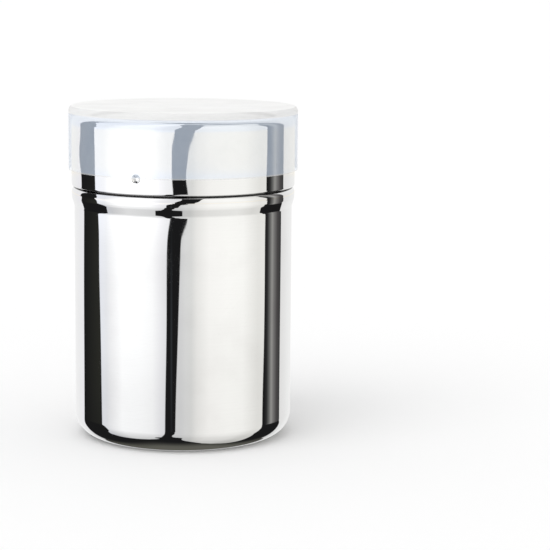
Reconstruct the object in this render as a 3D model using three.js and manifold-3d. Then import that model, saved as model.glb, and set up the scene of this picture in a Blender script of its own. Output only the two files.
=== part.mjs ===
// Spice shaker: a drawn steel cup, a twist-lock sifter lid and a frosted pull-off cover.
// Millimetres, +Z up, origin at the centre of the foot, front towards -Y.
import * as THREE from "three";
import { mergeVertices } from "three/addons/utils/BufferGeometryUtils.js";
import Module from "manifold-3d";

// Cup
const cupRadius = 34; // outside of the straight wall and of the neck
const cupSheet = 0.5;
const footCorner = 7.1; // outer bend between foot and wall
const footWidth = 5; // flat ring that the shaker stands on
const panelRise = 0.6; // base panel pressed up inside the foot ring
const panelSlope = 1.4;
const creaseHeight = 72.6; // where the bead starts
const beadHeight = 5.8;
const beadOutset = 0.8;
const neckHeight = 16.3; // from the top of the bead to the rim

// Clearances
const neckClearance = 0.34; // neck to inside of lid
const coverClearance = 0.31; // lid to inside of cover
const ringClearance = 0.3; // retaining ring to inside of lid
const channelClearance = 0.3; // lug to every wall of its channel
const seatGap = 0.3; // between pieces that bear on each other
const seamGap = 0.5; // open line between bead and lid
const overrun = 1; // how far a cut runs past what it cuts

// Lid
const lidSheet = 0.5;
const lidCorner = 2.2;
const flangeWidth = 6; // from the outside of the lid in to its opening
const lugHeight = 4.8; // centre of a lug above the lid's lower edge
const lugRadius = 1.4; // mouth of the pressed dimple
const lugTipRadius = 0.6;
const lugFlank = 0.15; // how much wider the lug is than its dimple
const lugBite = 0.6; // how far a lug reaches into the neck's channel
const lugCount = 3;
const lugAzimuth = 248.7; // degrees from +X, the first lug
const twistAngle = 28; // degrees from the channel's mouth to its closed end, clockwise from above

// Sifter disc
const discSheet = 0.5;
const holeRadius = 1.2;
const holePitch = 4.9;
const holeRings = 5;
const holesInFirstRing = 6;

// Retaining ring
const ringSheet = 0.5;
const ringHeight = 4.1;
const ringLedge = 3.05; // how far the ring reaches in under the disc
const ringBend = 1.2;
const ringSlit = 1.6; // split that lets the ring spring into the lid
const ringSlitAzimuth = 65;

// Cover
const coverWall = 0.55;
const coverRoof = 0.9;
const coverHeight = 19.85;
const coverCorner = 1.5;
const ribDepth = 1.8; // stop rib under the roof, which rests on the lid's flange
const ribWidth = 1;

// Facets
const roundSteps = 60;
const cornerSteps = 6;
const bendSteps = 3;
const plugSides = 16;
const holeSides = 8;
const weldDistance = 1e-4;

// Sizes that follow
const cupInside = cupRadius - cupSheet;
const beadRadius = cupRadius + beadOutset;
const beadTop = creaseHeight + beadHeight;
const rimHeight = beadTop + neckHeight;
const lidInside = cupRadius + neckClearance;
const lidRadius = lidInside + lidSheet;
const lidEdge = beadTop + seamGap;
const flangeFlatRadius = lidRadius - lidCorner; // where the flange's flat meets its corner
const openingRadius = lidRadius - flangeWidth;
const ringBottom = rimHeight + seatGap;
const discBottom = ringBottom + ringHeight + seatGap;
const lidTop = discBottom + discSheet + seatGap + lidSheet;
const lidHeight = lidTop - lidEdge;
const coverInside = lidRadius + coverClearance;
const coverRadius = coverInside + coverWall;
const coverTop = lidTop + seatGap + ribDepth + coverRoof;
const coverEdge = coverTop - coverHeight;
const channelFloor = cupRadius - lugBite - channelClearance;
const channelHalfWidth = lugRadius + lugFlank + channelClearance;
const channelLevel = lidEdge + lugHeight;

const wasm = await Module();
wasm.setup();

const point = (radius, height) => new THREE.Vector2(radius, height);
const radians = THREE.MathUtils.degToRad;

function arc(centreRadius, centreHeight, radius, fromDegrees, toDegrees, steps) {
  const points = [];
  for (let i = 0; i <= steps; i++) {
    const angle = radians(fromDegrees + ((toDegrees - fromDegrees) * i) / steps);
    points.push(point(centreRadius + radius * Math.cos(angle), centreHeight + radius * Math.sin(angle)));
  }
  return points;
}

function circle(radius, sides, centreX = 0, centreY = 0) {
  const points = [];
  for (let i = 0; i < sides; i++) {
    const angle = (2 * Math.PI * i) / sides;
    points.push(new THREE.Vector2(centreX + radius * Math.cos(angle), centreY + radius * Math.sin(angle)));
  }
  return points;
}

// A geometry as a solid: only positions, welded, without the slivers that a lathe leaves on its axis
function solidOf(geometry) {
  const bare = geometry.index ? geometry.toNonIndexed() : geometry.clone();
  bare.deleteAttribute("normal");
  bare.deleteAttribute("uv");
  const welded = mergeVertices(bare, weldDistance);
  const corners = welded.index.array;
  const kept = [];
  for (let i = 0; i < corners.length; i += 3) {
    const [a, b, c] = corners.slice(i, i + 3);
    if (a !== b && b !== c && c !== a) kept.push(a, b, c);
  }
  return new wasm.Manifold(
    new wasm.Mesh({
      numProp: 3,
      vertProperties: welded.attributes.position.array,
      triVerts: new Uint32Array(kept),
    }),
  );
}

function geometryOf(solid) {
  const mesh = solid.getMesh();
  const geometry = new THREE.BufferGeometry();
  geometry.setAttribute("position", new THREE.BufferAttribute(new Float32Array(mesh.vertProperties), 3));
  geometry.setIndex(new THREE.BufferAttribute(new Uint32Array(mesh.triVerts), 1));
  geometry.computeVertexNormals();
  return geometry;
}

// A profile of radius and height, turned about Z
function turned(profile) {
  const geometry = new THREE.LatheGeometry(profile, roundSteps);
  geometry.rotateX(Math.PI / 2);
  return solidOf(geometry);
}

function band(innerRadius, outerRadius, low, high) {
  return turned([
    point(innerRadius, low),
    point(outerRadius, low),
    point(outerRadius, high),
    point(innerRadius, high),
    point(innerRadius, low),
  ]);
}

function sector(innerRadius, outerRadius, low, high, fromDegrees, toDegrees) {
  const shape = new THREE.Shape();
  shape.absarc(0, 0, outerRadius, radians(fromDegrees), radians(toDegrees), false);
  shape.absarc(0, 0, innerRadius, radians(toDegrees), radians(fromDegrees), true);
  shape.closePath();
  const geometry = new THREE.ExtrudeGeometry(shape, {
    depth: high - low,
    bevelEnabled: false,
    curveSegments: cornerSteps,
  });
  geometry.translate(0, 0, low);
  return solidOf(geometry);
}

// A round plug lying along a radius of the shaker, from its tip out to its base
function radialPlug(tipRadius, baseRadius, tipAt, baseAt, level, azimuth) {
  const geometry = new THREE.CylinderGeometry(baseRadius, tipRadius, baseAt - tipAt, plugSides);
  geometry.rotateZ(-Math.PI / 2);
  geometry.translate((baseAt + tipAt) / 2, 0, level);
  geometry.rotateZ(radians(azimuth));
  return solidOf(geometry);
}

function radialBlock(width, innerRadius, outerRadius, low, high, azimuth) {
  const geometry = new THREE.BoxGeometry(outerRadius - innerRadius, width, high - low);
  geometry.translate((innerRadius + outerRadius) / 2, 0, (low + high) / 2);
  geometry.rotateZ(radians(azimuth));
  return solidOf(geometry);
}

function lugAzimuths() {
  return Array.from({ length: lugCount }, (_, i) => lugAzimuth + (360 / lugCount) * i);
}

function cupProfile() {
  const footOuter = cupRadius - footCorner;
  const footInner = footOuter - footWidth;
  const panelRadius = footInner - panelSlope;
  const beadTurn = 2 * Math.atan(beadOutset / beadHeight);
  const beadBend = beadHeight / Math.sin(beadTurn);
  const beadCentre = beadRadius - beadBend;
  const innerBend = beadBend - cupSheet;
  const innerLow = THREE.MathUtils.radToDeg(Math.acos((cupInside - beadCentre) / innerBend));
  const innerHigh = THREE.MathUtils.radToDeg(Math.asin(cupSheet / innerBend));
  return [
    point(0, panelRise),
    point(panelRadius, panelRise),
    point(footInner, 0),
    ...arc(footOuter, footCorner, footCorner, -90, 0, cornerSteps),
    ...arc(beadCentre, beadTop, beadBend, -THREE.MathUtils.radToDeg(beadTurn), 0, bendSteps),
    point(cupRadius, beadTop),
    point(cupRadius, rimHeight),
    point(cupInside, rimHeight),
    point(cupInside, beadTop - cupSheet),
    ...arc(beadCentre, beadTop, innerBend, -innerHigh, -innerLow, bendSteps),
    ...arc(footOuter, footCorner, footCorner - cupSheet, 0, -90, cornerSteps),
    point(footInner, cupSheet),
    point(panelRadius, panelRise + cupSheet),
    point(0, panelRise + cupSheet),
  ];
}

// The run of a bayonet channel: down from the rim at the lug's place, then round to its closed end
function channelForm(halfWidth, innerRadius, outerRadius, top, azimuth) {
  const inner = innerRadius - overrun;
  const outer = outerRadius + overrun;
  const closedEnd = azimuth - twistAngle;
  const low = channelLevel - halfWidth;
  const high = channelLevel + halfWidth;
  return radialBlock(2 * halfWidth, inner, outer, channelLevel, top, azimuth)
    .add(radialPlug(halfWidth, halfWidth, inner, outer, channelLevel, azimuth))
    .add(radialPlug(halfWidth, halfWidth, inner, outer, channelLevel, closedEnd))
    .add(sector(inner, outer, low, high, closedEnd, azimuth))
    .intersect(band(innerRadius, outerRadius, low - overrun, top));
}

function cupShell() {
  const padInside = channelFloor - cupSheet;
  const padOutside = (cupRadius + cupInside) / 2;
  let shell = turned(cupProfile());
  for (const azimuth of lugAzimuths()) {
    shell = shell.add(channelForm(channelHalfWidth + cupSheet, padInside, padOutside, rimHeight, azimuth));
  }
  for (const azimuth of lugAzimuths()) {
    const mouth = rimHeight + overrun;
    const outside = cupRadius + overrun;
    shell = shell.subtract(channelForm(channelHalfWidth, channelFloor, outside, mouth, azimuth));
  }
  return geometryOf(shell);
}

function lidProfile() {
  const cornerLevel = lidHeight - lidCorner;
  return [
    point(lidInside, 0),
    point(lidRadius, 0),
    ...arc(flangeFlatRadius, cornerLevel, lidCorner, 0, 90, cornerSteps),
    point(openingRadius, lidHeight),
    point(openingRadius, lidHeight - lidSheet),
    ...arc(flangeFlatRadius, cornerLevel, lidCorner - lidSheet, 90, 0, cornerSteps),
    point(lidInside, 0),
  ];
}

// The lugs are dimples pressed through the skirt: a dent outside and a stud inside
function lidShell() {
  const lugTip = cupRadius - lugBite;
  const dentFloor = lugTip + lidSheet;
  const studRoot = (lidInside + lidRadius) / 2;
  const dentMouth = lidRadius + overrun;
  const dentSlope = (lugRadius - lugTipRadius) / (lidRadius - dentFloor);
  const mouthRadius = lugRadius + dentSlope * overrun;
  let shell = turned(lidProfile());
  for (const azimuth of lugAzimuths()) {
    const stud = radialPlug(
      lugTipRadius + lugFlank,
      lugRadius + lugFlank,
      lugTip,
      studRoot,
      lugHeight,
      azimuth,
    );
    const dent = radialPlug(lugTipRadius, mouthRadius, dentFloor, dentMouth, lugHeight, azimuth);
    shell = shell.add(stud).subtract(dent);
  }
  return geometryOf(shell);
}

function sifterDisc() {
  const shape = new THREE.Shape(circle(flangeFlatRadius, roundSteps));
  shape.holes.push(new THREE.Path(circle(holeRadius, holeSides)));
  for (let ring = 1; ring <= holeRings; ring++) {
    const count = holesInFirstRing * ring;
    for (const centre of circle(holePitch * ring, count)) {
      shape.holes.push(new THREE.Path(circle(holeRadius, holeSides, centre.x, centre.y)));
    }
  }
  const geometry = new THREE.ExtrudeGeometry(shape, { depth: discSheet, bevelEnabled: false });
  return geometryOf(solidOf(geometry));
}

// An angle-section ring, split so that it springs against the inside of the lid
function retainingRing() {
  const outside = lidInside - ringClearance;
  const inside = outside - ringLedge;
  const bendRadius = outside - ringBend;
  const bendLevel = ringHeight - ringBend;
  const ring = turned([
    point(outside - ringSheet, 0),
    point(outside, 0),
    ...arc(bendRadius, bendLevel, ringBend, 0, 90, bendSteps),
    point(inside, ringHeight),
    point(inside, ringHeight - ringSheet),
    ...arc(bendRadius, bendLevel, ringBend - ringSheet, 90, 0, bendSteps),
    point(outside - ringSheet, 0),
  ]);
  const slit = radialBlock(
    ringSlit,
    inside - overrun,
    outside + overrun,
    -overrun,
    ringHeight + overrun,
    ringSlitAzimuth,
  );
  return geometryOf(ring.subtract(slit));
}

function plasticCover() {
  const roofUnder = coverHeight - coverRoof;
  const ribRadius = (openingRadius + flangeFlatRadius) / 2;
  const innerCorner = coverCorner - coverWall;
  return geometryOf(
    turned([
      point(0, roofUnder),
      point(ribRadius - ribWidth / 2, roofUnder),
      point(ribRadius - ribWidth / 2, roofUnder - ribDepth),
      point(ribRadius + ribWidth / 2, roofUnder - ribDepth),
      point(ribRadius + ribWidth / 2, roofUnder),
      ...arc(coverInside - innerCorner, roofUnder - innerCorner, innerCorner, 90, 0, bendSteps),
      point(coverInside, 0),
      point(coverRadius, 0),
      ...arc(coverRadius - coverCorner, coverHeight - coverCorner, coverCorner, 0, 90, bendSteps),
      point(0, coverHeight),
    ]),
  );
}

const polishedSteel = new THREE.MeshStandardMaterial({ color: 0xdcdddf, roughness: 0.08, metalness: 1 });
const plainSteel = new THREE.MeshStandardMaterial({ color: 0xc9cacc, roughness: 0.3, metalness: 1 });
const frostedPlastic = new THREE.MeshStandardMaterial({
  color: 0xeceef1,
  roughness: 0.5,
  metalness: 0,
  transparent: true,
  opacity: 0.55,
});

function piece(name, geometry, material, level) {
  const mesh = new THREE.Mesh(geometry, material);
  mesh.name = name;
  mesh.position.z = level;
  return mesh;
}

const lid = new THREE.Group();
lid.position.z = lidEdge;
lid.add(piece("lid_shell", lidShell(), polishedSteel, 0));
lid.add(piece("sifter_disc", sifterDisc(), plainSteel, discBottom - lidEdge));
lid.add(piece("retaining_ring", retainingRing(), plainSteel, ringBottom - lidEdge));

const shaker = new THREE.Group();
shaker.add(piece("cup_shell", cupShell(), polishedSteel, 0));
shaker.add(lid);
shaker.add(piece("plastic_cover", plasticCover(), frostedPlastic, coverEdge));

export default shaker;
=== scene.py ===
import math

import bmesh
import bpy
from mathutils import Matrix, Vector


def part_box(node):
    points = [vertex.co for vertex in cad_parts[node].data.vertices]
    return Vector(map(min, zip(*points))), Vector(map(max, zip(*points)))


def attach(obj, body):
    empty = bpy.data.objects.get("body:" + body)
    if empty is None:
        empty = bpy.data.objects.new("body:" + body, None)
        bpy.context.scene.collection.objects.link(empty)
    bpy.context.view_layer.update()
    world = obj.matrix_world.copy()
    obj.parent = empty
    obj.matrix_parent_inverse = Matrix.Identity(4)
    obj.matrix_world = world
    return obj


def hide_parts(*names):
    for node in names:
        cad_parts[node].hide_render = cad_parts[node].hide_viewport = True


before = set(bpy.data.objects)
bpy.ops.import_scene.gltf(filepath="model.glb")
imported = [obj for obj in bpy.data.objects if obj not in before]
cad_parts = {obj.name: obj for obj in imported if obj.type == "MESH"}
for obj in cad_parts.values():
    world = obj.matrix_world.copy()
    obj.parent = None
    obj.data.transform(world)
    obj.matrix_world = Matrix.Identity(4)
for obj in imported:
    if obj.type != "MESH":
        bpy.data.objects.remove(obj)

# Spice shaker in a white studio: polished steel cup and sifter lid, frosted cover.
# Metres, Z up, the camera looks along +Y. Places come from the loaded frame.
mm = 0.001
fullTurn = 2 * math.pi
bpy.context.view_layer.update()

scene = bpy.context.scene
scene.view_settings.view_transform = "Standard"


# mesh tools

meshSet = {
    "arcStep": math.radians(4),  # turn of one segment of a rounding
    "arcFewest": 3,
    "merge": 0.002 * mm,
    "sharpTurn": math.radians(60),  # edges that turn more than this get rounded
}


def drawProfile(bm, corners):
    # corners are (radius, height, rounding); each rounding becomes an arc in the wire
    points = [Vector((radius, 0, height)) for radius, height, _ in corners]
    verts = [bm.verts.new(point) for point in points]
    for first, second in zip(verts, verts[1:]):
        bm.edges.new((first, second))
    for i in range(1, len(corners) - 1):
        rounding = corners[i][2]
        if rounding == 0:
            continue
        turn = math.pi - (points[i - 1] - points[i]).angle(points[i + 1] - points[i])
        segments = max(meshSet["arcFewest"], round(turn / meshSet["arcStep"]))
        bmesh.ops.bevel(bm, geom=[verts[i]], offset=rounding * math.tan(turn / 2), offset_type="OFFSET",
                        segments=segments, profile=0.5, affect="VERTICES", material=-1)


def holdEnds(bm, gap, longerThan):
    # extra points beside every arc, so that the long flat stretches stay flat in a mirror
    for edge in [e for e in bm.edges if e.calc_length() > longerThan]:
        far = edge.verts[1]
        _, nearVert = bmesh.utils.edge_split(edge, edge.verts[0], gap / edge.calc_length())
        rest = next(e for e in nearVert.link_edges if far in e.verts)
        bmesh.utils.edge_split(rest, far, gap / rest.calc_length())


def splitBand(bm, low, high, step):
    # cuts the upright wire edges between two heights into short ones
    for edge in bm.edges[:]:
        start, end = sorted(v.co.z for v in edge.verts)
        if start > low and end < high and end - start > step:
            bmesh.ops.subdivide_edges(bm, edges=[edge], cuts=int((end - start) / step))


def spin(bm, geometry, angle, steps, closed):
    made = bmesh.ops.spin(bm, geom=geometry, cent=(0, 0, 0), axis=(0, 0, 1), dvec=(0, 0, 0), angle=angle,
                          steps=steps, use_merge=closed, use_normal_flip=False, use_duplicate=False)
    return made["geom_last"]


def spinAll(bm, steps):
    spin(bm, bm.verts[:] + bm.edges[:], fullTurn, steps, closed=True)
    tidyNormals(bm)


def spinInTurns(bm, start, turns):
    # turns is a list of (angle, steps); fine turns where something small is pressed in
    bmesh.ops.rotate(bm, cent=(0, 0, 0), matrix=Matrix.Rotation(start, 3, "Z"), verts=bm.verts[:])
    geometry = bm.verts[:] + bm.edges[:]
    for angle, steps in turns:
        geometry = spin(bm, geometry, angle, steps, closed=False)
    tidyNormals(bm)


def tidyNormals(bm):
    bmesh.ops.remove_doubles(bm, verts=bm.verts[:], dist=meshSet["merge"])
    bmesh.ops.recalc_face_normals(bm, faces=bm.faces[:])


def giveThickness(bm, thickness):
    # the drawn skin is the outside; the sheet grows inwards and its new faces take slot 1
    outside = set(bm.faces[:])
    bmesh.ops.solidify(bm, geom=bm.faces[:], thickness=thickness)
    for face in bm.faces:
        face.material_index = 0 if face in outside else 1


def softenEdges(bm, offset, segments, chosen=lambda edge: True):
    sharp = []
    for edge in bm.edges:
        if edge.is_manifold and edge.calc_face_angle() > meshSet["sharpTurn"] and chosen(edge):
            sharp.append(edge)
    bmesh.ops.bevel(bm, geom=sharp, offset=offset, offset_type="OFFSET", segments=segments,
                    profile=0.5, affect="EDGES", material=-1)


def smoothstep(value):
    value = min(max(value, 0), 1)
    return value * value * (3 - 2 * value)


def turnFrom(azimuth, vert):
    # how far round a point lies from an azimuth, between minus and plus half a turn
    angle = math.atan2(vert.co.y, vert.co.x) - azimuth
    return (angle + math.pi) % fullTurn - math.pi


def pressIn(vert, depth):
    # moves a point of a round wall towards the axis
    flat = Vector((vert.co.x, vert.co.y, 0))
    vert.co -= flat.normalized() * depth


def addPiece(name, bm, materials, body, node):
    mesh = bpy.data.meshes.new(name)
    for face in bm.faces:
        face.smooth = True
    bm.to_mesh(mesh)
    bm.free()
    for material in materials:
        mesh.materials.append(material)
    piece = bpy.data.objects.new(name, mesh)
    scene.collection.objects.link(piece)
    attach(piece, body)
    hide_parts(node)
    print(name, len(mesh.polygons), "faces")
    return piece


# shader tools

def feed(tree, node, inputs):
    # each named input gets a link from a socket, or a plain value
    for key, value in inputs.items():
        if isinstance(value, bpy.types.NodeSocket):
            tree.links.new(value, node.inputs[key])
        else:
            node.inputs[key].default_value = value


def addNode(tree, kind, inputs=None, **settings):
    made = tree.nodes.new(kind)
    for key, value in settings.items():
        setattr(made, key, value)
    feed(tree, made, inputs or {})
    return made


def maths(tree, operation, *values):
    return addNode(tree, "ShaderNodeMath", dict(enumerate(values)), operation=operation).outputs[0]


def remap(tree, value, given, wanted=(0, 1), kind="LINEAR"):
    # brings the given range to the wanted one and stops at its ends
    ranges = {"From Min": given[0], "From Max": given[1], "To Min": wanted[0], "To Max": wanted[1]}
    made = addNode(tree, "ShaderNodeMapRange", {"Value": value, **ranges}, interpolation_type=kind)
    return made.outputs["Result"]


def fade(tree, value, given, wanted=(0, 1)):
    # a remap with soft ends
    return remap(tree, value, given, wanted, "SMOOTHSTEP")


def asColour(value):
    return value if isinstance(value, bpy.types.NodeSocket) else (*value, 1)


def mixColours(tree, mask, low, high):
    made = addNode(tree, "ShaderNodeMix", {0: mask, 6: asColour(low), 7: asColour(high)}, data_type="RGBA")
    return made.outputs[2]


def mixValues(tree, mask, low, high):
    return addNode(tree, "ShaderNodeMix", {0: mask, 2: low, 3: high}, data_type="FLOAT").outputs[0]


def addNoise(tree, place, scale=1.0, detail=3.0, roughness=0.6):
    made = addNode(tree, "ShaderNodeTexNoise", {"Vector": place, "Scale": scale, "Detail": detail,
                                                "Roughness": roughness})
    return made.outputs["Fac"]


def addBump(tree, height, distance, inputs=None):
    made = addNode(tree, "ShaderNodeBump", {"Height": height, "Strength": 1.0, "Distance": distance,
                                            **(inputs or {})})
    return made.outputs["Normal"]


def join(tree, x, y, z=0.0):
    return addNode(tree, "ShaderNodeCombineXYZ", {"X": x, "Y": y, "Z": z}).outputs[0]


def objectPlace(tree):
    return addNode(tree, "ShaderNodeTexCoord").outputs["Object"]


def split(tree, place):
    parts = addNode(tree, "ShaderNodeSeparateXYZ", {"Vector": place}).outputs
    return parts["X"], parts["Y"], parts["Z"]


def roundPlace(tree):
    # distance from the shaker's axis, and height
    x, y, height = split(tree, objectPlace(tree))
    radius = addNode(tree, "ShaderNodeVectorMath", {0: join(tree, x, y)}, operation="LENGTH")
    return radius.outputs["Value"], height


def startGroup(name, inputs, output):
    group = bpy.data.node_groups.new(name, "ShaderNodeTree")
    for socket, default in inputs.items():
        made = group.interface.new_socket(socket, in_out="INPUT", socket_type="NodeSocketFloat")
        made.default_value = default
    group.interface.new_socket(output, in_out="OUTPUT", socket_type="NodeSocketFloat")
    return group, addNode(group, "NodeGroupInput").outputs, addNode(group, "NodeGroupOutput")


def useGroup(tree, group, **values):
    return addNode(tree, "ShaderNodeGroup", values, node_tree=group).outputs[0]


driftLength = 10 * mm  # over this length a ring with a drift of 1 changes once


def turnedLinesGroup():
    # fine rings left by polishing or turning about the shaker's axis
    group, given, put = startGroup("turnedLines", {"Spacing": 0.2 * mm, "Drift": 0.5}, "Lines")
    x, y, z = split(group, objectPlace(group))
    rings = maths(group, "DIVIDE", z, given["Spacing"])
    reach = maths(group, "DIVIDE", given["Drift"], driftLength)
    stretched = join(group, maths(group, "MULTIPLY", x, reach), maths(group, "MULTIPLY", y, reach), rings)
    feed(group, put, {"Lines": addNoise(group, stretched)})
    return group


def cloudGroup():
    # soft uneven patches: handling, slight waves in the sheet, milky plastic
    group, given, put = startGroup("softClouds", {"Size": 10 * mm, "Stretch": 1.0, "Detail": 2.0}, "Clouds")
    x, y, z = split(group, objectPlace(group))
    shaped = join(group, x, y, maths(group, "DIVIDE", z, given["Stretch"]))
    scale = maths(group, "DIVIDE", 1.0, given["Size"])
    feed(group, put, {"Clouds": addNoise(group, shaped, scale, given["Detail"], 0.5)})
    return group


hairlineTurns = ((0.5, 0.2, 0.3), (-0.7, 0.4, -0.5))  # the two directions of the scratches
hairlineCut = (0.68, 0.74)  # only the peaks of the noise make a scratch


def hairlinesGroup():
    # sparse hairline scratches from wiping and racking
    group, given, put = startGroup("hairlines", {"Length": 12 * mm, "Width": 0.12 * mm, "Amount": 0.1},
                                   "Hairlines")
    place = objectPlace(group)
    masks = []
    for turn in hairlineTurns:
        turned = addNode(group, "ShaderNodeVectorRotate", {"Vector": place, "Rotation": turn},
                         rotation_type="EULER_XYZ")
        x, y, z = split(group, turned.outputs[0])
        stretched = join(group, maths(group, "DIVIDE", x, given["Length"]),
                         maths(group, "DIVIDE", y, given["Length"]),
                         maths(group, "DIVIDE", z, given["Width"]))
        masks.append(fade(group, addNoise(group, stretched, detail=0.0, roughness=0.5), hairlineCut))
    both = maths(group, "MAXIMUM", *masks)
    feed(group, put, {"Hairlines": maths(group, "MULTIPLY", both, given["Amount"])})
    return group


turnedLines = turnedLinesGroup()
softClouds = cloudGroup()
hairlines = hairlinesGroup()
print("shader groups ready")


# materials

def startMaterial(name):
    material = bpy.data.materials.new(name)
    material.use_nodes = True
    tree = material.node_tree
    return material, tree, tree.nodes["Principled BSDF"]


# pairs named after an effect are the part of the noise that it is read from
mirrorFinish = {
    "pale": (0.88, 0.885, 0.89),
    "grey": (0.83, 0.83, 0.835),
    "smooth": 0.012,
    "handled": 0.05,
    "lineSpacing": 0.12 * mm,
    "lineDrift": 0.3,
    "lineHeight": 0.00001 * mm,
    "lines": (0.3, 0.7),
    "lineShare": 0.35,
    "waveSize": 22 * mm,
    "waveStretch": 2.5,
    "waveHeight": 0.004 * mm,
    "touchSize": 14 * mm,
    "touches": (0.45, 0.75),
    "wearShare": 0.65,
    "scratchLength": 14 * mm,
    "scratchWidth": 0.1 * mm,
    "scratchAmount": 0.5,
    "scratchShare": 0.8,
    # painted shade: the colour that darkens the neck in the seam under the lid's edge
    "paintedSeamShade": (0.05, 0.05, 0.052),
    "paintedSeamShadeFrom": 78.2 * mm,
    "paintedSeamShadeTo": 79.6 * mm,
    "paintedSeamShadeStart": 0.2 * mm,
    "paintedSeamShadeEnd": 0.6 * mm,
    "paintedSeamShadeWithin": (34.5 * mm, 34.7 * mm),  # the painted shade stops before the bead and the lid outside it
}


def mirrorSteel():
    look = mirrorFinish
    material, tree, shader = startMaterial("mirrorSteel")
    lines = useGroup(tree, turnedLines, Spacing=look["lineSpacing"], Drift=look["lineDrift"])
    waves = useGroup(tree, softClouds, Size=look["waveSize"], Stretch=look["waveStretch"], Detail=1.0)
    touches = useGroup(tree, softClouds, Size=look["touchSize"], Stretch=1.0, Detail=4.0)
    scratches = useGroup(tree, hairlines, Length=look["scratchLength"], Width=look["scratchWidth"],
                         Amount=look["scratchAmount"])
    scratched = maths(tree, "MULTIPLY", scratches, look["scratchShare"])
    wear = maths(tree, "MAXIMUM", fade(tree, touches, look["touches"]), scratched)
    ringed = remap(tree, lines, look["lines"], (0, look["lineShare"]))
    rough = maths(tree, "ADD", maths(tree, "MULTIPLY", wear, look["wearShare"]), ringed)
    clean = mixColours(tree, rough, look["pale"], look["grey"])
    # painted shade: the neck is darkened in the narrow gap between the bead and the lid, where the seam
    # lies in shade
    radius, height = roundPlace(tree)
    low, high = look["paintedSeamShadeFrom"], look["paintedSeamShadeTo"]
    paintedSeamMask = maths(tree, "MULTIPLY", fade(tree, height, (low, low + look["paintedSeamShadeStart"])),
                   fade(tree, height, (high, high + look["paintedSeamShadeEnd"]), (1, 0)))
    paintedSeamMask = maths(tree, "MULTIPLY", paintedSeamMask, remap(tree, radius, look["paintedSeamShadeWithin"], (1, 0)))
    wave = addBump(tree, waves, look["waveHeight"])
    feed(tree, shader, {
        "Base Color": mixColours(tree, paintedSeamMask, clean, look["paintedSeamShade"]),
        "Roughness": remap(tree, rough, (0, 1), (look["smooth"], look["handled"])),
        "Normal": addBump(tree, lines, look["lineHeight"], {"Normal": wave}),
        "Metallic": 1.0,
    })
    return material


def finishPlainSteel(tree, shader, look, mask, relief):
    feed(tree, shader, {
        "Base Color": mixColours(tree, mask, look["pale"], look["grey"]),
        "Roughness": remap(tree, mask, (0, 1), (look["smooth"], look["coarse"])),
        "Normal": addBump(tree, relief, look["reliefHeight"]),
        "Metallic": 1.0,
    })


satinFinish = {
    "pale": (0.78, 0.785, 0.79),
    "grey": (0.60, 0.60, 0.61),
    "smooth": 0.22,
    "coarse": 0.42,
    "lineSpacing": 0.25 * mm,
    "lineDrift": 0.6,
    "lines": (0.25, 0.75),
    "lineShare": 0.6,
    "patchSize": 9 * mm,
    "patches": (0.3, 0.7),
    "patchShare": 0.4,
    "reliefHeight": 0.0012 * mm,
}


def satinSteel():
    look = satinFinish
    material, tree, shader = startMaterial("satinSteel")
    lines = useGroup(tree, turnedLines, Spacing=look["lineSpacing"], Drift=look["lineDrift"])
    patches = useGroup(tree, softClouds, Size=look["patchSize"], Stretch=1.0, Detail=3.0)
    mask = maths(tree, "ADD", remap(tree, lines, look["lines"], (0, look["lineShare"])),
                 remap(tree, patches, look["patches"], (0, look["patchShare"])))
    finishPlainSteel(tree, shader, look, mask, lines)
    return material


rolledFinish = {
    "pale": (0.82, 0.825, 0.83),
    "grey": (0.66, 0.66, 0.67),
    "smooth": 0.16,
    "coarse": 0.34,
    "grainLength": 16 * mm,
    "grainWidth": 0.16 * mm,
    "grain": (0.3, 0.7),
    "grainShare": 0.6,
    "patchSize": 12 * mm,
    "patches": (0.35, 0.7),
    "patchShare": 0.4,
    "reliefHeight": 0.0012 * mm,
}


def rolledSteel():
    # flat sheet with its rolling grain along X
    look = rolledFinish
    material, tree, shader = startMaterial("rolledSteel")
    along, across = 1 / look["grainLength"], 1 / look["grainWidth"]
    mapped = addNode(tree, "ShaderNodeMapping",
                     {"Vector": objectPlace(tree), "Scale": (along, across, along)})
    grain = addNoise(tree, mapped.outputs[0])
    patches = useGroup(tree, softClouds, Size=look["patchSize"], Stretch=1.0, Detail=3.0)
    mask = maths(tree, "ADD", remap(tree, grain, look["grain"], (0, look["grainShare"])),
                 remap(tree, patches, look["patches"], (0, look["patchShare"])))
    finishPlainSteel(tree, shader, look, mask, grain)
    return material


frostedFinish = {
    "milk": (0.725, 0.835, 1.0),
    "haze": (0.76, 0.855, 1.0),
    # painted shade: the shoulder band is a little darker than the roof, for the front-facing band that gets
    # less light
    "shoulder": (0.86, 0.86, 0.855),
    "roof": (0.98, 0.98, 0.97),
    "rim": (0.78, 0.80, 0.82),
    "wallAlpha": (0.40, 0.425),
    # painted light: the nearly opaque pale shoulder stands in for light that passes through the plastic
    # into the space above the lid
    "shoulderAlpha": 0.8,
    "roofAlpha": (0.90, 0.95),
    "rimAlpha": 0.5,
    "ribAlpha": 0.1,
    "corner": 1.5 * mm,  # rounding of the cover's top edge
    "skin": (0.25 * mm, 0.1 * mm),
    "roofSkin": (0.25 * mm, 0.05 * mm),
    "shoulderDepth": 2.3 * mm,
    "shoulderSoft": 0.25 * mm,
    "rimBand": (0.35 * mm, 0.5 * mm),
    "ribReach": (3.8 * mm, 3.6 * mm),
    "cloudSize": 9 * mm,
    "clouds": (0.3, 0.7),
    "grainSize": 0.5 * mm,
    "grain": (0.3, 0.7),
    "grainHeight": 0.0004 * mm,
    "smooth": 0.38,
    "matt": 0.46,
    "sheen": 0.3,
    "sheenRoughness": 0.3,
    "ior": 1.5,
}


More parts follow.
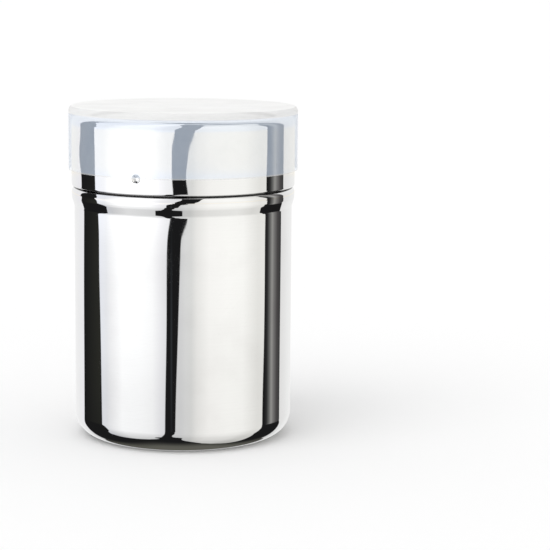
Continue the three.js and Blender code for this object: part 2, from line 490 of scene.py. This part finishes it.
def frostedPlastic():
    # the haze lies in the outer skin: thin on the wall, thicker on the roof. The shoulder band is painted
    # shade, a little darker than the roof where the front faces less light, and nearly opaque as painted
    # light for the light that the plastic lets into the space above the lid
    look = frostedFinish
    material, tree, shader = startMaterial("frostedPlastic")
    bottom, top = (corner.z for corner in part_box("plastic_cover"))
    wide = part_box("plastic_cover")[1].x
    radius, height = roundPlace(tree)
    corner = look["corner"]
    outward = maths(tree, "MAXIMUM", maths(tree, "SUBTRACT", radius, wide - corner), 0.0)
    upward = maths(tree, "MAXIMUM", maths(tree, "SUBTRACT", height, top - corner), 0.0)
    reach = maths(tree, "SQRT", maths(tree, "ADD", maths(tree, "MULTIPLY", outward, outward),
                                      maths(tree, "MULTIPLY", upward, upward)))
    outer = remap(tree, reach, [corner - depth for depth in look["skin"]])
    roofed = fade(tree, height, [top - depth for depth in look["roofSkin"]])
    shoulderLow, soft = top - look["shoulderDepth"], look["shoulderSoft"]
    shoulder = fade(tree, height, (shoulderLow - soft, shoulderLow + soft))
    rim = remap(tree, height, [bottom + rise for rise in look["rimBand"]], (1, 0))
    ribbed = remap(tree, radius, [wide - depth for depth in look["ribReach"]], (1, 0))
    clouds = useGroup(tree, softClouds, Size=look["cloudSize"], Stretch=1.0, Detail=3.0)
    grain = useGroup(tree, softClouds, Size=look["grainSize"], Stretch=1.0, Detail=2.0)
    milky = fade(tree, clouds, look["clouds"])
    colour = mixColours(tree, milky, look["milk"], look["haze"])
    # painted shade and painted light on the shoulder band
    colour = mixColours(tree, shoulder, colour, look["shoulder"])
    colour = mixColours(tree, roofed, colour, look["roof"])
    colour = mixColours(tree, rim, colour, look["rim"])
    alpha = remap(tree, milky, (0, 1), look["wallAlpha"])
    alpha = mixValues(tree, shoulder, alpha, look["shoulderAlpha"])
    alpha = mixValues(tree, roofed, alpha, remap(tree, milky, (0, 1), look["roofAlpha"]))
    alpha = mixValues(tree, rim, alpha, look["rimAlpha"])
    within = maths(tree, "MULTIPLY", ribbed, look["ribAlpha"])
    feed(tree, shader, {
        "Base Color": colour,
        "Alpha": mixValues(tree, outer, within, alpha),
        "Roughness": remap(tree, grain, look["grain"], (look["smooth"], look["matt"])),
        "Normal": addBump(tree, grain, look["grainHeight"]),
        "Sheen Weight": look["sheen"],
        "Sheen Roughness": look["sheenRoughness"],
        "IOR": look["ior"],
    })
    return material


mirror = mirrorSteel()
satin = satinSteel()
rolled = rolledSteel()
frosted = frostedPlastic()
print("materials ready")


# the cup

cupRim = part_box("cup_shell")[1].z
lugPlace = {
    "azimuths": [math.radians(248.7 + 120 * i) for i in range(3)],
    "height": 83.7 * mm,
    "twist": math.radians(28),
}
cupSet = {
    "wallRadius": 34.0 * mm,
    "sheet": 0.5 * mm,
    "footCorner": 7.1 * mm,
    "footWidth": 5.0 * mm,
    "panelRise": 0.6 * mm,
    "panelSlope": 1.4 * mm,
    "panelRounding": 2.0 * mm,
    "crease": 72.62 * mm,
    "creaseRounding": 1.6 * mm,
    # the bead's corners: how far out, how high, how round
    "bead": [(0.79 * mm, 75.1 * mm, 2.8 * mm), (0.80 * mm, 76.75 * mm, 8.0 * mm),
             (0.77 * mm, 77.68 * mm, 1.8 * mm)],
    "neckRoot": 78.55 * mm,
    "neckRounding": 0.1 * mm,
    "neckStep": 0.35 * mm,
    "neckPlain": 1.0 * mm,  # the channels stay this far above the root
    "channelDepth": 0.9 * mm,
    "channelHalfWidth": 1.85 * mm,
    "channelWall": 0.35 * mm,
    "rimRounding": 0.14 * mm,
    "holdGap": 0.16 * mm,
    "longEdge": 1.2 * mm,
    "steps": 360,
}


def cupCorners():
    wall = cupSet["wallRadius"]
    footOuter = wall - cupSet["footCorner"]
    footInner = footOuter - cupSet["footWidth"]
    return [
        (0, cupSet["panelRise"], 0),
        (footInner - cupSet["panelSlope"], cupSet["panelRise"], cupSet["panelRounding"]),
        (footInner, 0, cupSet["panelRounding"]),
        (wall, 0, cupSet["footCorner"]),
        (wall, cupSet["crease"], cupSet["creaseRounding"]),
        *[(wall + outset, height, rounding) for outset, height, rounding in cupSet["bead"]],
        (wall, cupSet["neckRoot"], cupSet["neckRounding"]),
        (wall, cupRim, 0),
    ]


def channelDistance(vert, azimuth):
    # how far a neck point is from the centre line of a channel: down from the rim, then round
    along = -turnFrom(azimuth, vert) * cupSet["wallRadius"]
    above = vert.co.z - lugPlace["height"]
    run = lugPlace["twist"] * cupSet["wallRadius"]
    toEntry = math.hypot(along, min(above, 0))
    toRun = math.hypot(along - min(max(along, 0), run), above)
    return min(toEntry, toRun)


def buildCup():
    bm = bmesh.new()
    drawProfile(bm, cupCorners())
    holdEnds(bm, cupSet["holdGap"], cupSet["longEdge"])
    splitBand(bm, cupSet["neckRoot"], cupRim + cupSet["neckPlain"], cupSet["neckStep"])
    spinAll(bm, cupSet["steps"])
    half, wall = cupSet["channelHalfWidth"], cupSet["channelWall"]
    for vert in bm.verts:
        if vert.co.z < cupSet["neckRoot"] + cupSet["neckPlain"]:
            continue
        distance = min(channelDistance(vert, azimuth) for azimuth in lugPlace["azimuths"])
        pressIn(vert, smoothstep((half + wall - distance) / (2 * wall)) * cupSet["channelDepth"])
    giveThickness(bm, cupSet["sheet"])
    softenEdges(bm, cupSet["rimRounding"], segments=3)
    addPiece("cup", bm, [mirror, satin], "cup", "cup_shell")


buildCup()


# the lid

lidLow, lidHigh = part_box("lid_shell")
lidSet = {
    "sheet": 0.5 * mm,
    "corner": 2.2 * mm,
    "flangeWidth": 6.0 * mm,
    "dimpleDepth": 0.94 * mm,
    "dimpleFloor": 0.45 * mm,
    "dimpleMouth": 1.45 * mm,
    "dimpleMargin": 0.4 * mm,
    "dimpleStep": 0.12 * mm,
    "fineTurn": math.radians(6),
    "fineSteps": 42,
    "coarseSteps": 76,
    "lipBand": 0.1 * mm,  # the lower outer edge lies this near the wall's face
    "lipRounding": 0.36 * mm,
    "rimRounding": 0.1 * mm,
    "holdGap": 0.6 * mm,
    "longEdge": 2.0 * mm,
}


def cutFineBand(bm, low, high):
    # two points on the wall's wire, with short edges between them for the dimples
    slack = 0.01 * mm
    wall = max(bm.edges, key=lambda e: e.calc_length())
    _, lowVert = bmesh.utils.edge_split(wall, min(wall.verts, key=lambda v: v.co.z), 0.5)
    lowVert.co.z = low
    upper = max(lowVert.link_edges, key=lambda e: e.verts[0].co.z + e.verts[1].co.z)
    _, highVert = bmesh.utils.edge_split(upper, lowVert, 0.5)
    highVert.co.z = high
    splitBand(bm, low - slack, high + slack, lidSet["dimpleStep"])


def pressDimples(bm, radius, level):
    mouth, floor = lidSet["dimpleMouth"], lidSet["dimpleFloor"]
    for vert in bm.verts:
        for azimuth in lugPlace["azimuths"]:
            distance = math.hypot(turnFrom(azimuth, vert) * radius, vert.co.z - level)
            if distance < mouth:
                pressIn(vert, lidSet["dimpleDepth"] * smoothstep((mouth - distance) / (mouth - floor)))
                break


def buildLid():
    bm = bmesh.new()
    radius = lidHigh.x
    drawProfile(bm, [
        (radius, lidLow.z, 0),
        (radius, lidHigh.z, lidSet["corner"]),
        (radius - lidSet["flangeWidth"], lidHigh.z, 0),
    ])
    level = lugPlace["height"]
    wide = lidSet["dimpleMouth"] + lidSet["dimpleMargin"]
    cutFineBand(bm, level - wide, level + wide)
    holdEnds(bm, lidSet["holdGap"], lidSet["longEdge"])
    fine = lidSet["fineTurn"]
    lugs = len(lugPlace["azimuths"])
    turns = [(fine, lidSet["fineSteps"]), (fullTurn / lugs - fine, lidSet["coarseSteps"])] * lugs
    spinInTurns(bm, lugPlace["azimuths"][0] - fine / 2, turns)
    pressDimples(bm, radius, level)
    giveThickness(bm, lidSet["sheet"])
    lip = radius - lidSet["lipBand"]
    softenEdges(bm, lidSet["lipRounding"], segments=6, chosen=lambda e: e.verts[0].co.xy.length > lip)
    softenEdges(bm, lidSet["rimRounding"], segments=3)
    addPiece("lidCap", bm, [mirror, satin], "lid", "lid_shell")


buildLid()


# the sifter disc

discLow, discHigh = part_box("sifter_disc")
discSet = {
    "holeRadius": 1.2 * mm,
    "holePitch": 4.9 * mm,
    "holeRings": 5,
    "firstRing": 6,  # holes in the innermost ring; each further ring has as many more
    "holeSides": 28,
    "rimSteps": 120,
    "edge": 0.1 * mm,
    "flatNormal": 0.999,  # faces flatter than this keep a flat shade
}


def holeCentres():
    centres = [(0, 0)]
    for ring in range(1, discSet["holeRings"] + 1):
        count = discSet["firstRing"] * ring
        reach = discSet["holePitch"] * ring
        for i in range(count):
            angle = fullTurn * i / count
            centres.append((reach * math.cos(angle), reach * math.sin(angle)))
    return centres


def buildDisc():
    bm = bmesh.new()
    bmesh.ops.create_circle(bm, cap_ends=False, segments=discSet["rimSteps"], radius=discHigh.x,
                            matrix=Matrix.Translation((0, 0, discHigh.z)))
    for x, y in holeCentres():
        bmesh.ops.create_circle(bm, cap_ends=False, segments=discSet["holeSides"],
                                radius=discSet["holeRadius"], matrix=Matrix.Translation((x, y, discHigh.z)))
    bmesh.ops.triangle_fill(bm, use_beauty=True, use_dissolve=False, edges=bm.edges[:], normal=(0, 0, 1))
    bmesh.ops.recalc_face_normals(bm, faces=bm.faces[:])
    if bm.faces[0].normal.z < 0:
        bmesh.ops.reverse_faces(bm, faces=bm.faces[:])
    bmesh.ops.solidify(bm, geom=bm.faces[:], thickness=discHigh.z - discLow.z)
    softenEdges(bm, discSet["edge"], segments=2)
    disc = addPiece("sifterDisc", bm, [rolled], "sifter", "sifter_disc")
    for face in disc.data.polygons:
        face.use_smooth = abs(face.normal.z) < discSet["flatNormal"]


buildDisc()


# the ring that holds the disc in the lid

ringLow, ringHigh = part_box("retaining_ring")
ringSet = {
    "sheet": 0.5 * mm,
    "ledge": 3.05 * mm,
    "bend": 1.2 * mm,
    "slit": 1.6 * mm,
    "slitAzimuth": math.radians(65),
    "edge": 0.12 * mm,
    "holdGap": 0.25 * mm,
    "longEdge": 1.2 * mm,
    "steps": 240,
}


def buildRing():
    bm = bmesh.new()
    outside = ringHigh.x
    drawProfile(bm, [
        (outside, ringLow.z, 0),
        (outside, ringHigh.z, ringSet["bend"]),
        (outside - ringSet["ledge"], ringHigh.z, 0),
    ])
    holdEnds(bm, ringSet["holdGap"], ringSet["longEdge"])
    gap = ringSet["slit"] / outside
    spinInTurns(bm, ringSet["slitAzimuth"] + gap / 2, [(fullTurn - gap, ringSet["steps"])])
    top = max(bm.faces, key=lambda f: f.calc_center_median().z)
    if top.normal.z < 0:
        bmesh.ops.reverse_faces(bm, faces=bm.faces[:])
    giveThickness(bm, ringSet["sheet"])
    softenEdges(bm, ringSet["edge"], segments=2)
    addPiece("retainingRing", bm, [satin, satin], "lid", "retaining_ring")


buildRing()


# the frosted cover

coverLow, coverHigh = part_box("plastic_cover")
coverSet = {
    "wall": 0.55 * mm,
    "roof": 0.9 * mm,
    "corner": frostedFinish["corner"],
    "ribRadius": 30.74 * mm,
    "ribWidth": 1.0 * mm,
    "ribDepth": 1.8 * mm,
    "edge": 0.16 * mm,
    "holdGap": 0.3 * mm,
    "longEdge": 2.0 * mm,
    "steps": 288,
}


def buildCover():
    bm = bmesh.new()
    outside = coverHigh.x
    inside = outside - coverSet["wall"]
    top = coverHigh.z
    under = top - coverSet["roof"]
    ribOuter = coverSet["ribRadius"] + coverSet["ribWidth"] / 2
    ribInner = coverSet["ribRadius"] - coverSet["ribWidth"] / 2
    ribLow = under - coverSet["ribDepth"]
    edge = coverSet["edge"]
    drawProfile(bm, [
        (0, top, 0),
        (outside, top, coverSet["corner"]),
        (outside, coverLow.z, edge),
        (inside, coverLow.z, edge),
        (inside, under, coverSet["corner"] - coverSet["wall"]),
        (ribOuter, under, edge),
        (ribOuter, ribLow, edge),
        (ribInner, ribLow, edge),
        (ribInner, under, edge),
        (0, under, 0),
    ])
    holdEnds(bm, coverSet["holdGap"], coverSet["longEdge"])
    spinAll(bm, coverSet["steps"])
    cover = addPiece("frostedCover", bm, [frosted], "cover", "plastic_cover")
    cover.visible_glossy = False  # the steel keeps the studio's bright reflections under it


buildCover()
print("pieces ready")


# studio: what the polished steel reflects. Two big softboxes stand in front in a dark room, with
# a gap between them. Behind is a light wall in two halves, and a dim card hangs at the right.
# Rows are (elevation, left edge, right edge), shades (azimuth, colour), fall (elevation, level).
# Angles are in degrees, and azimuths count from the camera's side, positive to the right

softboxes = {
    "left": {
        "rows": [(88, -160, -12), (75, -150, -5), (62, -140, 0.5), (46, -128, 0.5), (36, -119, -1),
                 (20, -101, -4), (0, -96.5, -6), (-4.6, -100.5, -6), (-5.1, -100, -9), (-5.9, -99.5, -9),
                 (-6.4, -99, -7.5), (-7, -98, -10.5), (-7.5, -97, -13.5), (-8, -97, -14.5),
                 (-10.4, -95, -15), (-12.8, -93.5, -16.5), (-18, -89.5, -17), (-26, -89, -18.5),
                 (-33, -94, -21), (-38.5, -94.5, -23.5), (-39.5, -92, -24.5), (-40.5, -91, -33),
                 (-44.5, -86.5, -33), (-46, -84, -26.5), (-49, -75, -32), (-51.5, -60, -46)],
        "shades": [(-97, (0.92, 0.94, 1.0)), (-86, (0.95, 0.96, 0.99)), (-80, (1.05, 1.05, 1.06)),
                   (-65, (1.25, 1.25, 1.25)), (-42, (1.21, 1.21, 1.21)), (-30, (1.15, 1.15, 1.15)),
                   (-21, (0.985, 0.98, 1.0)), (-15, (0.90, 0.90, 0.915)), (-6, (0.84, 0.84, 0.85))],
        "fall": [(90, 1.0), (0, 1.05), (-3.4, 1.12), (-6.3, 1.14), (-8, 1.0), (-10.4, 0.95),
                 (-13, 0.85), (-20, 0.84), (-24, 0.80), (-28, 0.75), (-33, 0.69), (-38, 0.65),
                 (-46, 0.57), (-70, 0.5)],
    },
    "right": {
        "rows": [(75, 60, 90), (62, 35, 108), (54, 29, 116), (46, 25, 116), (36, 22, 99), (24, 19.5, 97),
                 (10, 17, 98), (0, 14.5, 98), (-4.6, 14, 98), (-5.1, 8, 98), (-5.5, 6.5, 97.5),
                 (-5.9, 5, 97), (-6.4, 7.5, 97), (-7, 7.5, 99), (-7.3, 4.5, 98.5), (-7.6, 0.5, 98.5),
                 (-8.2, -0.5, 98.5), (-10.4, -3, 98), (-12.8, -5.5, 96), (-22, -7, 98), (-33, -10, 99),
                 (-38, -8.5, 99), (-39.5, -5, 100), (-40.5, 1.5, 101), (-44.5, 1.5, 104),
                 (-46, 0.5, 105), (-51, 0.5, 109), (-55, 2.5, 112), (-61, 10, 115), (-67, 24, 110),
                 (-71, 36, 96), (-73, 50, 80)],
        "shades": [(0, (0.74, 0.74, 0.74)), (5, (0.79, 0.79, 0.78)), (11, (0.80, 0.80, 0.78)),
                   (17, (0.93, 0.92, 0.89)), (30, (1.07, 1.055, 1.02)), (50, (1.10, 1.09, 1.05)),
                   (68, (1.08, 1.07, 1.03)), (80, (0.97, 0.96, 0.92)), (88, (0.90, 0.89, 0.85))],
        "fall": [(90, 0.75), (68, 0.75), (50, 1.0), (-3, 0.96), (-6.2, 0.96), (-8, 1.0), (-13, 0.93),
                 (-20, 0.93), (-29, 0.88), (-34, 0.86), (-39, 0.80), (-44, 0.76), (-54, 0.71),
                 (-58, 0.65), (-63, 0.60), (-70, 0.58)],
    },
    "wallLeft": {
        "rows": [(80, -185, -140), (60, -172, -138), (45, -170, -138), (34, -174, -135),
                 (28, -180, -132), (23, -200, -130), (0, -200, -128), (-4.6, -200, -128),
                 (-5.2, -200, -131.5), (-6, -200, -126), (-9, -200, -128), (-12.8, -200, -129),
                 (-20, -200, -133.5), (-27, -198, -137.5), (-31, -170, -140.5), (-38.5, -152, -149)],
        "shades": [(-145, (0.93, 0.93, 0.93)), (-131, (0.92, 0.91, 0.94))],
        "fall": [(90, 1.0), (-18, 1.0), (-38, 0.7)],
    },
    "wallRight": {
        "rows": [(80, 140, 185), (60, 125, 174), (45, 127, 174), (34, 128, 178), (28, 128, 200),
                 (0, 125, 200), (-4.6, 124.5, 200), (-7, 129, 200), (-12.8, 128, 200),
                 (-20, 133.5, 200), (-27, 139.5, 198), (-31, 143.5, 170), (-39, 153, 155)],
        "shades": [(130, (0.84, 0.83, 0.82)), (150, (0.91, 0.91, 0.90))],
        "fall": [(90, 0.55), (56, 0.6), (40, 0.8), (20, 1.0), (-18, 1.0), (-39, 0.7)],
    },
    "dimCard": {
        "rows": [(20, 99, 128), (-13, 99, 128), (-16, 102, 124)],
        "shades": [(99, (0.012, 0.012, 0.012)), (103, (0.03, 0.03, 0.03)), (107, (0.14, 0.14, 0.135)),
                   (111, (0.32, 0.315, 0.30)), (115, (0.19, 0.185, 0.18)), (121, (0.075, 0.07, 0.07)),
                   (127, (0.05, 0.05, 0.05))],
        "fall": [(90, 1.6), (-6.3, 1.6), (-7.3, 1.0), (-90, 1.0)],
    },
}
boxEdge = {"side": 0.8, "ends": 0.6, "headroom": 20}  # a box goes on above its first row by the headroom
outlineCurve = {"sweep": 440, "level": 12, "span": 1.8}
darkRoom = {
    "front": (0.0115, 0.0115, 0.012),
    # less dark low down at the back, by the Y, Z and X of the direction
    "under": (0.12, 0.118, 0.10),
    "underBack": (-0.45, 0.3), "underDown": (-0.35, -0.75), "underSide": (0.5, 0.15),
    "streaks": [{"azimuth": (-11.5, -9.0), "elevation": (-12.6, -8.5), "shade": (0.035, 0.04, 0.045)},
                {"azimuth": (-126, -96), "elevation": (-13, -6.5), "shade": (0.026, 0.0265, 0.022)}],
    "streakSide": 1.5, "streakEnds": 4.0,
    # slightly warm where the lid is seen through the bluish cover
    "lidTint": {"elevation": (-5.75, -4.4), "times": (1.10, 1.035, 0.914), "soft": 0.3},
}
studioLevel = {"camera": 1.0, "diffuse": 0.85}


def squeeze(elevation):
    # gives the elevations near the level more room in the outline curves
    return 0.5 + elevation / (abs(elevation) + outlineCurve["level"]) / outlineCurve["span"]


def squeezeNode(tree, elevation):
    # the same as squeeze, in nodes
    reach = maths(tree, "ADD", maths(tree, "ABSOLUTE", elevation), outlineCurve["level"])
    share = maths(tree, "DIVIDE", maths(tree, "DIVIDE", elevation, reach), outlineCurve["span"])
    return maths(tree, "ADD", share, 0.5)


def addCurve(tree, value, points):
    made = addNode(tree, "ShaderNodeFloatCurve", {"Value": value})
    curve = made.mapping.curves[0]
    points = sorted(points)
    curve.points[0].location = points[0]
    curve.points[1].location = points[-1]
    for point in points[1:-1]:
        curve.points.new(*point)
    for point in curve.points:
        point.handle_type = "AUTO_CLAMPED"
    made.mapping.update()
    return made.outputs["Value"]


def inside(tree, value, start, end, soft):
    # 1 between start and end, with soft edges
    past = maths(tree, "DIVIDE", maths(tree, "SUBTRACT", value, start), soft)
    left = maths(tree, "DIVIDE", maths(tree, "SUBTRACT", end, value), soft)
    return maths(tree, "MULTIPLY", fade(tree, past, (-0.5, 0.5)), fade(tree, left, (-0.5, 0.5)))


def scaleColour(tree, operation, inputs):
    return addNode(tree, "ShaderNodeVectorMath", inputs, operation=operation).outputs[0]


def addDarkRoom(tree, way, azimuth, elevation):
    x, y, z = split(tree, way)
    under = maths(tree, "MULTIPLY", fade(tree, y, darkRoom["underBack"]),
                  fade(tree, z, darkRoom["underDown"]))
    under = maths(tree, "MULTIPLY", under, fade(tree, maths(tree, "ABSOLUTE", x), darkRoom["underSide"]))
    colour = mixColours(tree, under, darkRoom["front"], darkRoom["under"])
    for streak in darkRoom["streaks"]:
        ramp = remap(tree, azimuth, streak["azimuth"])
        across = maths(tree, "MULTIPLY", ramp,
                       inside(tree, azimuth, *streak["azimuth"], darkRoom["streakSide"]))
        mask = maths(tree, "MULTIPLY", across,
                     inside(tree, elevation, *streak["elevation"], darkRoom["streakEnds"]))
        colour = mixColours(tree, mask, colour, streak["shade"])
    return colour


def addSoftbox(tree, colour, box, azimuth, elevation, squeezed):
    sweep = outlineCurve["sweep"]
    edges = []
    for column in (1, 2):
        points = [(squeeze(row[0]), row[column] / sweep + 0.5) for row in box["rows"]]
        curve = addCurve(tree, squeezed, points)
        edges.append(maths(tree, "MULTIPLY", maths(tree, "SUBTRACT", curve, 0.5), sweep))
    top, bottom = box["rows"][0][0], box["rows"][-1][0]
    mask = maths(tree, "MULTIPLY", inside(tree, azimuth, *edges, boxEdge["side"]),
                 inside(tree, elevation, bottom, top + boxEdge["headroom"], boxEdge["ends"]))
    shade = box["shades"][0][1]
    for (start, _), (end, nextShade) in zip(box["shades"], box["shades"][1:]):
        shade = mixColours(tree, remap(tree, azimuth, (start, end)), shade, nextShade)
    fall = addCurve(tree, squeezed, [(squeeze(height), level) for height, level in box["fall"]])
    return mixColours(tree, mask, colour, scaleColour(tree, "SCALE", {0: shade, "Scale": fall}))


def buildStudio():
    world = bpy.data.worlds.new("studio")
    scene.world = world
    world.use_nodes = True
    tree = world.node_tree
    tree.nodes.clear()
    way = addNode(tree, "ShaderNodeTexCoord").outputs["Generated"]
    x, y, z = split(tree, way)
    azimuth = maths(tree, "DEGREES", maths(tree, "ARCTAN2", x, maths(tree, "MULTIPLY", y, -1.0)))
    elevation = maths(tree, "DEGREES", maths(tree, "ARCSINE", z))
    squeezed = squeezeNode(tree, elevation)
    colour = addDarkRoom(tree, way, azimuth, elevation)
    for box in softboxes.values():
        colour = addSoftbox(tree, colour, box, azimuth, elevation, squeezed)
    tint = darkRoom["lidTint"]
    tinted = scaleColour(tree, "MULTIPLY", {0: colour, 1: tint["times"]})
    colour = mixColours(tree, inside(tree, elevation, *tint["elevation"], tint["soft"]), colour, tinted)

    # the pattern is seen by reflections alone; the camera sees plain white
    path = addNode(tree, "ShaderNodeLightPath").outputs
    white = (1, 1, 1, 1)
    reflected = addNode(tree, "ShaderNodeBackground", {"Color": colour, "Strength": 1.0})
    spread = addNode(tree, "ShaderNodeBackground", {"Color": white, "Strength": studioLevel["diffuse"]})
    seen = addNode(tree, "ShaderNodeBackground", {"Color": white, "Strength": studioLevel["camera"]})
    glossy = addNode(tree, "ShaderNodeMixShader",
                     {0: path["Is Glossy Ray"], 1: spread.outputs[0], 2: reflected.outputs[0]})
    direct = addNode(tree, "ShaderNodeMixShader",
                     {0: path["Is Camera Ray"], 1: glossy.outputs[0], 2: seen.outputs[0]})
    addNode(tree, "ShaderNodeOutputWorld", {"Surface": direct.outputs[0]})


buildStudio()

lampSet = {"tilt": math.radians(38), "turn": math.radians(-35), "strength": 0.75, "angle": math.radians(50)}


def buildLamp():
    light = bpy.data.lights.new("softKey", "SUN")
    light.energy = lampSet["strength"]
    light.angle = lampSet["angle"]
    lamp = bpy.data.objects.new("softKey", light)
    lamp.rotation_euler = (lampSet["tilt"], 0, lampSet["turn"])
    lamp.visible_glossy = False
    scene.collection.objects.link(lamp)


buildLamp()

floorSet = {"size": 30.0, "drop": 0.02 * mm, "colour": (0.97, 0.97, 0.97), "roughness": 0.9}


def buildFloor():
    material, tree, shader = startMaterial("paleFloor")
    feed(tree, shader, {"Base Color": (*floorSet["colour"], 1), "Roughness": floorSet["roughness"],
                        "Specular IOR Level": 0.0})
    bm = bmesh.new()
    bmesh.ops.create_grid(bm, x_segments=4, y_segments=4, size=floorSet["size"] / 2,
                          matrix=Matrix.Translation((0, 0, -floorSet["drop"])))
    mesh = bpy.data.meshes.new("floor")
    bm.to_mesh(mesh)
    bm.free()
    mesh.materials.append(material)
    floor = bpy.data.objects.new("floor", mesh)
    floor.visible_glossy = False
    scene.collection.objects.link(floor)


buildFloor()

cameraSet = {
    "place": (28.94 * mm, -634.0 * mm, 146.46 * mm),
    "lens": 133.0,
    "sensor": 36.0,
    "down": math.radians(8.62),
    "roll": math.radians(0.43),
    "clip": (0.01, 100),
}


def buildCamera():
    data = bpy.data.cameras.new("camera")
    data.lens = cameraSet["lens"]
    data.sensor_width = cameraSet["sensor"]
    data.clip_start, data.clip_end = cameraSet["clip"]
    camera = bpy.data.objects.new("camera", data)
    upright = Matrix.Rotation(math.pi / 2 - cameraSet["down"], 4, "X")
    turn = upright @ Matrix.Rotation(cameraSet["roll"], 4, "Z")
    camera.matrix_world = Matrix.Translation(cameraSet["place"]) @ turn
    scene.collection.objects.link(camera)
    scene.camera = camera


buildCamera()
print("studio and camera ready")
